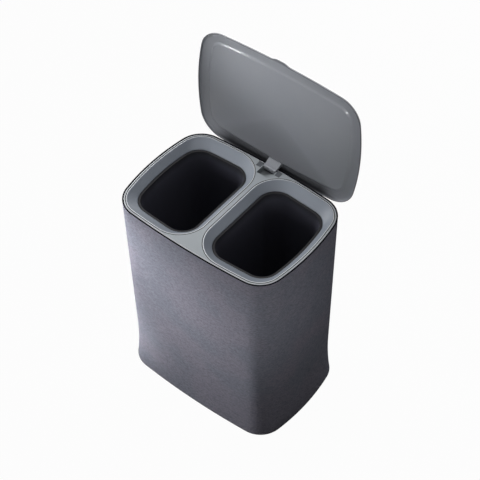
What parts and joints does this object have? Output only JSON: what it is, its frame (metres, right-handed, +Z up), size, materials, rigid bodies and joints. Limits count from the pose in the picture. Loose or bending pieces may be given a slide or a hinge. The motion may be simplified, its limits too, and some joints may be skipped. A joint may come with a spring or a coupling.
{
  "type": "laundry hamper",
  "caption": "Tapered free-standing laundry hamper with lift-out bins side by side in a top frame and one shared lid hinged at the rear, shown open.",
  "frame": {"origin": "on the floor, under the middle of the box round the hamper with its lid open", "axes": "+Z up, -Y towards the front, +X towards the right-hand bin as seen from the front"},
  "size_m": [0.48, 0.3656, 0.9213],
  "materials": {
    "casing": "fine horizontal grain, matte",
    "frame": "smooth satin",
    "lid": "smooth satin",
    "tub": "smooth matte",
    "cap": "smooth satin",
    "pin": "drawn steel",
    "foot": "matte"
  },
  "bodies": {
    "casing": {"outer_casing": "casing", "foot_front_left": "foot", "foot_front_right": "foot", "foot_rear_left": "foot", "foot_rear_right": "foot", "top_frame": "frame", "hinge_pin": "pin", "hinge_cap_left": "cap", "hinge_cap_right": "cap"},
    "lid": {"lid": "lid"},
    "bin_left": {"bin_collar_left": "frame", "bin_tub_left": "tub"},
    "bin_right": {"bin_collar_right": "frame", "bin_tub_right": "tub"}
  },
  "joints": [
    {"name": "lid_hinge", "type": "hinge", "parent": "casing", "child": "lid", "pos_m": [0, 0.14253, 0.594], "axis": [1, 0, 0], "range_deg": [0, 93.5]},
    {"name": "bin_left_lift", "type": "slide", "parent": "casing", "child": "bin_left", "axis": [0, 0, 1], "range_m": [0, 0.65]},
    {"name": "bin_right_lift", "type": "slide", "parent": "casing", "child": "bin_right", "axis": [0, 0, 1], "range_m": [0, 0.65]}
  ]
}
